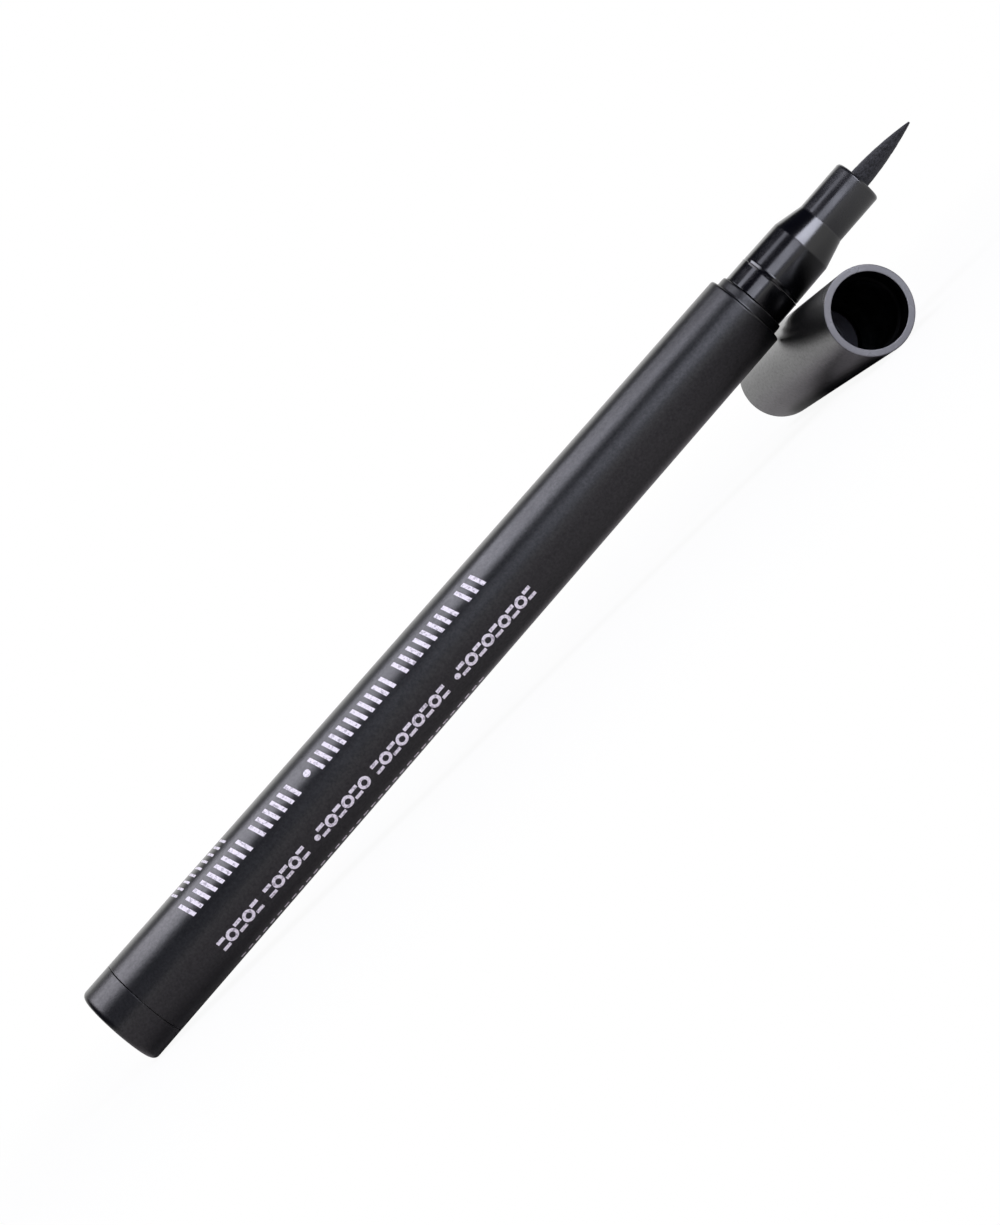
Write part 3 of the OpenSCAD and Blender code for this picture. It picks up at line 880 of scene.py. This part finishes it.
# Fine rows at the upper and lower edges
FINE_STROKES = 9
FINE_STROKE_START = 14.7
FINE_STROKE_PITCH = 0.95
FINE_STROKE_ANGLES = (8, 27)
FINE_STROKE_W = 0.32
FINE_STROKE_LEAN = 0.4
FINE_DASHES = 34
FINE_DASH_START = 14.5
FINE_DASH_PITCH = 1.15
FINE_DASH_LEN = 0.7
FINE_DASH_ANGLE = 160
FINE_DASH_W = 0.4


def surface_point(z, angle):
    """Point just above the barrel's skin."""
    a = math.radians(angle)
    r = barrel_r(z) + PRINT_LIFT
    return PEN @ Vector((r * math.cos(a) * MM, r * math.sin(a) * MM, z * MM))


def degrees_per_mm(z):
    return math.degrees(1 / barrel_r(z))


def row_places(start, groups, pitch, space, dot_space):
    """Places of a row's marks, as z and the mark's number in its group. A dot has no number."""
    z = start
    for count in groups:
        if count == 0:
            yield z, None
            z += dot_space
            continue
        for i in range(count):
            yield z, i
            z += pitch
        z += space


class Print:
    """Collects flat marks that lie on the barrel's skin, and makes one mesh of them."""

    def __init__(self):
        self.vertices = []
        self.faces = []

    def band(self, pairs):
        """Faces between neighbouring pairs of points."""
        first = len(self.vertices)
        for pair in pairs:
            self.vertices.extend(pair)
        for i in range(len(pairs) - 1):
            k = first + 2 * i
            self.faces.append((k, k + 1, k + 3, k + 2))

    def stroke(self, z, width, angles, lean):
        """Upright stroke between two angles, leaning along the pen by the given length."""
        low, high = angles
        pairs = []
        for i in range(STROKE_STEPS + 1):
            share = i / STROKE_STEPS
            angle = low + (high - low) * share
            middle = z + lean * (share - 0.5)
            pairs.append([surface_point(middle + side * width / 2, angle) for side in (-1, 1)])
        self.band(pairs)

    def dash(self, start, end, angle, width):
        """Line along the pen."""
        half = width / 2 * degrees_per_mm(start)
        pairs = []
        for i in range(DASH_STEPS + 1):
            z = start + (end - start) * i / DASH_STEPS
            pairs.append([surface_point(z, angle + side * half) for side in (-1, 1)])
        self.band(pairs)

    def dot(self, z, angle, radius, inner=0.0):
        """Round dot, or a ring if it has an inner radius."""
        first = len(self.vertices)
        per_mm = degrees_per_mm(z)
        for r in (inner, radius):
            for i in range(DOT_STEPS):
                a = 2 * math.pi * i / DOT_STEPS
                self.vertices.append(surface_point(z + r * math.cos(a), angle + r * math.sin(a) * per_mm))
        outer = first + DOT_STEPS
        for i in range(DOT_STEPS):
            n = (i + 1) % DOT_STEPS
            self.faces.append((first + i, outer + i, outer + n, first + n))

    def finish(self, name, material):
        """Make the mesh, with every mark facing away from the pen's axis."""
        obj = new_object(name, [tuple(v) for v in self.vertices], self.faces, [material])
        axis = PEN.to_3x3() @ Vector((0, 0, 1))
        for polygon in obj.data.polygons:
            out = polygon.center - PEN.translation
            out = out - axis * out.dot(axis)
            if out.dot(polygon.normal) < 0:
                polygon.flip()
        obj.data.update()
        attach(obj, "pen")


def make_print():
    marks = Print()
    for z, number in row_places(BOLD_START, BOLD_GROUPS, BOLD_PITCH, BOLD_SPACE, BOLD_DOT_SPACE):
        if number is None:
            marks.dot(z + BOLD_DOT_SHIFT, BOLD_DOT_ANGLE, BOLD_DOT_R)
        else:
            marks.stroke(z, BOLD_W, BOLD_ANGLES, BOLD_LEAN)
    for z, number in row_places(RING_START, RING_GROUPS, RING_PITCH, RING_SPACE, RING_DOT_SPACE):
        if number is None:
            marks.dot(z + RING_DOT_SHIFT, RING_DOT_ANGLE, RING_DOT_R)
        elif number % 2:
            marks.dot(z, RING_ANGLE, RING_R, RING_INNER_R)
        else:
            for angle in PAIR_ANGLES:
                marks.dash(z - PAIR_REACH, z + PAIR_REACH, angle, PAIR_W)
    for i in range(FINE_STROKES):
        z = FINE_STROKE_START + i * FINE_STROKE_PITCH
        marks.stroke(z, FINE_STROKE_W, FINE_STROKE_ANGLES, FINE_STROKE_LEAN)
    for i in range(FINE_DASHES):
        z = FINE_DASH_START + i * FINE_DASH_PITCH
        marks.dash(z, z + FINE_DASH_LEN, FINE_DASH_ANGLE, FINE_DASH_W)
    marks.finish("printed_marks", print_ink())


def dress_hidden():
    """The ink reservoir and its film keep their solids and get their own materials."""
    for node, material in (("ink_reservoir", fibre_black), ("reservoir_film", film_material())):
        mesh = frame["nodes"][node].data
        mesh.materials.clear()
        mesh.materials.append(material)


# Floor. It shows as white to the camera but for the pen's shadow, and mirrors as a dim table near the pen.
# It holds painted shade in front of the pen's front end, and a paler painted glow behind the pen and under
# its tip that only reflections show. Spans of place are in millimetres from the frame's origin.
FLOOR_HALF = 3000
FLOOR_DROP = 0.02
FLOOR_GLOW = 0.93
FLOOR_COLOR = [0.66, 0.62, 0.6, 1]
# Darker floor tone in front of the pen's front end: painted shade, mirrored in the barrel, neck and cap
FLOOR_PAINTED_SHADE_COLOR = [0.24, 0.23, 0.23, 1]
WHITE = [1, 1, 1, 1]
PAINTED_SHADE_X = (25, 50)
FAR_DISTANCE = (60, 160)
FAR_MIRRORED = 0.8
# Painted glow on the floor under the tip and behind the pen, seen only in reflections
TIP_X = (45, 60)
TIP_PAINTED_GLOW = 0.78
BEHIND_Y = (5, 45)
BEHIND_PAINTED_GLOW = 0.5


def metres(span):
    return [length * MM for length in span]


def make_floor():
    material = bpy.data.materials.new("floor_white")
    material.use_nodes = True
    nodes = Nodes(material.node_tree)
    position = nodes.add("ShaderNodeTexCoord").outputs["Object"]
    x, y = nodes.parts(position)
    distance = nodes.vector("LENGTH", position)["Value"]
    paths = nodes.add("ShaderNodeLightPath")
    camera_ray = paths.outputs["Is Camera Ray"]
    glossy_ray = paths.outputs["Is Glossy Ray"]
    # Rays other than the camera's see the floor darker in front of the pen's front end: painted shade
    tone = nodes.mix_color(nodes.ramp(x, metres(PAINTED_SHADE_X)), FLOOR_COLOR, FLOOR_PAINTED_SHADE_COLOR)
    table = nodes.add("ShaderNodeBsdfDiffuse")
    nodes.link(nodes.mix_color(camera_ray, tone, WHITE), table.inputs["Color"])
    glow = nodes.add("ShaderNodeEmission")
    far = nodes.ramp(distance, metres(FAR_DISTANCE))
    seen = nodes.math("MULTIPLY", camera_ray, nodes.math("MULTIPLY_ADD", far, 1 - FLOOR_GLOW, FLOOR_GLOW))
    # Glow for glossy rays alone under the tip and behind the pen: painted light for the pen's and cap's
    # reflections
    tip = nodes.ramp(x, metres(TIP_X), (0.0, TIP_PAINTED_GLOW))
    behind = nodes.ramp(y, metres(BEHIND_Y), (0.0, BEHIND_PAINTED_GLOW))
    near = nodes.math("MAXIMUM", tip, behind)
    bright = nodes.math("MAXIMUM", nodes.math("MULTIPLY", far, FAR_MIRRORED), near)
    share = nodes.math("ADD", seen, nodes.math("MULTIPLY", glossy_ray, bright))
    surface = nodes.mix_shader(share, table.outputs[0], glow.outputs[0])
    nodes.finish("ShaderNodeOutputMaterial", surface)
    h = FLOOR_HALF * MM
    floor = new_object("floor", [(-h, -h, 0), (h, -h, 0), (h, h, 0), (-h, h, 0)], [(0, 1, 2, 3)], [material])
    floor.location.z = -FLOOR_DROP * MM


# World, as shares of a direction: y is 1 straight behind the pen, and x is 1 to its right
FILL = 0.05
CEILING_Y = (0.4, 0.64)
CEILING = 0.1
WALL_Y = (0.64, 0.74)
WALL = 1.35
WALL_LEFT_X = (-0.2, -0.44)
WALL_LEFT_SHARE = 0.52
TINT_Y = (0.3, 0.64)
FILL_TINT = [0.45, 0.5, 1.0, 1]


def make_world():
    """White for the camera. The object sees it dark in front, and a pale wall behind, dimmer to the left."""
    world = bpy.data.worlds.new("studio")
    world.use_nodes = True
    bpy.context.scene.world = world
    nodes = Nodes(world.node_tree)
    x, y = nodes.parts(nodes.add("ShaderNodeTexCoord").outputs["Generated"])
    ceiling = nodes.ramp(y, CEILING_Y, (FILL, CEILING))
    wall = nodes.ramp(y, WALL_Y, (0.0, WALL))
    left = nodes.ramp(x, WALL_LEFT_X, (1.0, WALL_LEFT_SHARE))
    room = nodes.add("ShaderNodeBackground")
    tint = nodes.mix_color(nodes.ramp(y, TINT_Y), FILL_TINT, WHITE)
    nodes.link(tint, room.inputs["Color"])
    nodes.link(nodes.math("ADD", ceiling, nodes.math("MULTIPLY", wall, left)), room.inputs["Strength"])
    white = nodes.add("ShaderNodeBackground")
    white.inputs["Color"].default_value = WHITE
    camera_ray = nodes.add("ShaderNodeLightPath").outputs["Is Camera Ray"]
    surface = nodes.mix_shader(camera_ray, room.outputs[0], white.outputs[0])
    nodes.finish("ShaderNodeOutputWorld", surface)


# Lamps: name, angles of the ends towards +X, angles of the edges about the pen, radiance and colour.
# An edge at 0 is level in front, at 90 overhead and at 180 level behind.
LAMP_DISTANCE = 900
LAMP_TARGET = (30, 0, 10)
COOL = (0.84, 0.86, 1.0)
LAMPS = (
    ("overhead_left", (-30, -14), (63, 112), 3.3, (0.95, 0.92, 1.0)),
    ("overhead_middle", (-14, -4), (57, 108), 6.5, (0.88, 0.88, 1.0)),
    ("overhead_right", (-4, 3.5), (66, 81), 3.0, COOL),
    ("window", (1.8, 12), (8, 37.5), 4.7, COOL),
    ("window_sill", (1.8, 12), (0.5, 8), 0.8, COOL),
    ("front_core", (24.5, 36), (0.5, 42), 12.5, COOL),
)


def make_lamp(name, ends, edges, radiance, color):
    """Area lamp that faces the pen, as a patch of the sky round it."""
    side, rise = (math.radians(sum(pair) / 2) for pair in (ends, edges))
    half_width, half_height = (math.radians(pair[1] - pair[0]) / 2 for pair in (ends, edges))
    level, steep = math.cos(rise), math.sin(rise)
    way = Vector((math.sin(side), -math.cos(side) * level, math.cos(side) * steep))
    x = Vector((math.cos(side), math.sin(side) * level, -math.sin(side) * steep))
    distance = LAMP_DISTANCE * MM
    data = bpy.data.lights.new(name, "AREA")
    data.shape = "RECTANGLE"
    data.size = 2 * distance * math.tan(half_width)
    data.size_y = 2 * distance * math.cos(side) * math.tan(half_height)
    data.energy = radiance * math.pi * data.size * data.size_y
    data.color = color
    lamp = bpy.data.objects.new(name, data)
    turn = Matrix((x, way.cross(x), way)).transposed()
    lamp.matrix_world = Matrix.Translation(Vector(LAMP_TARGET) * MM + way * distance) @ turn.to_4x4()
    lamp.visible_camera = False
    bpy.context.scene.collection.objects.link(lamp)


make_camera()
make_world()
make_floor()
for lamp_row in LAMPS:
    make_lamp(*lamp_row)
make_barrel()
make_rear_plug()
make_neck()
make_nib_holder()
make_felt_tip()
make_cap()
make_inner_cap()
make_spring()
make_print()
dress_hidden()
bpy.context.scene.view_settings.view_transform = "Standard"
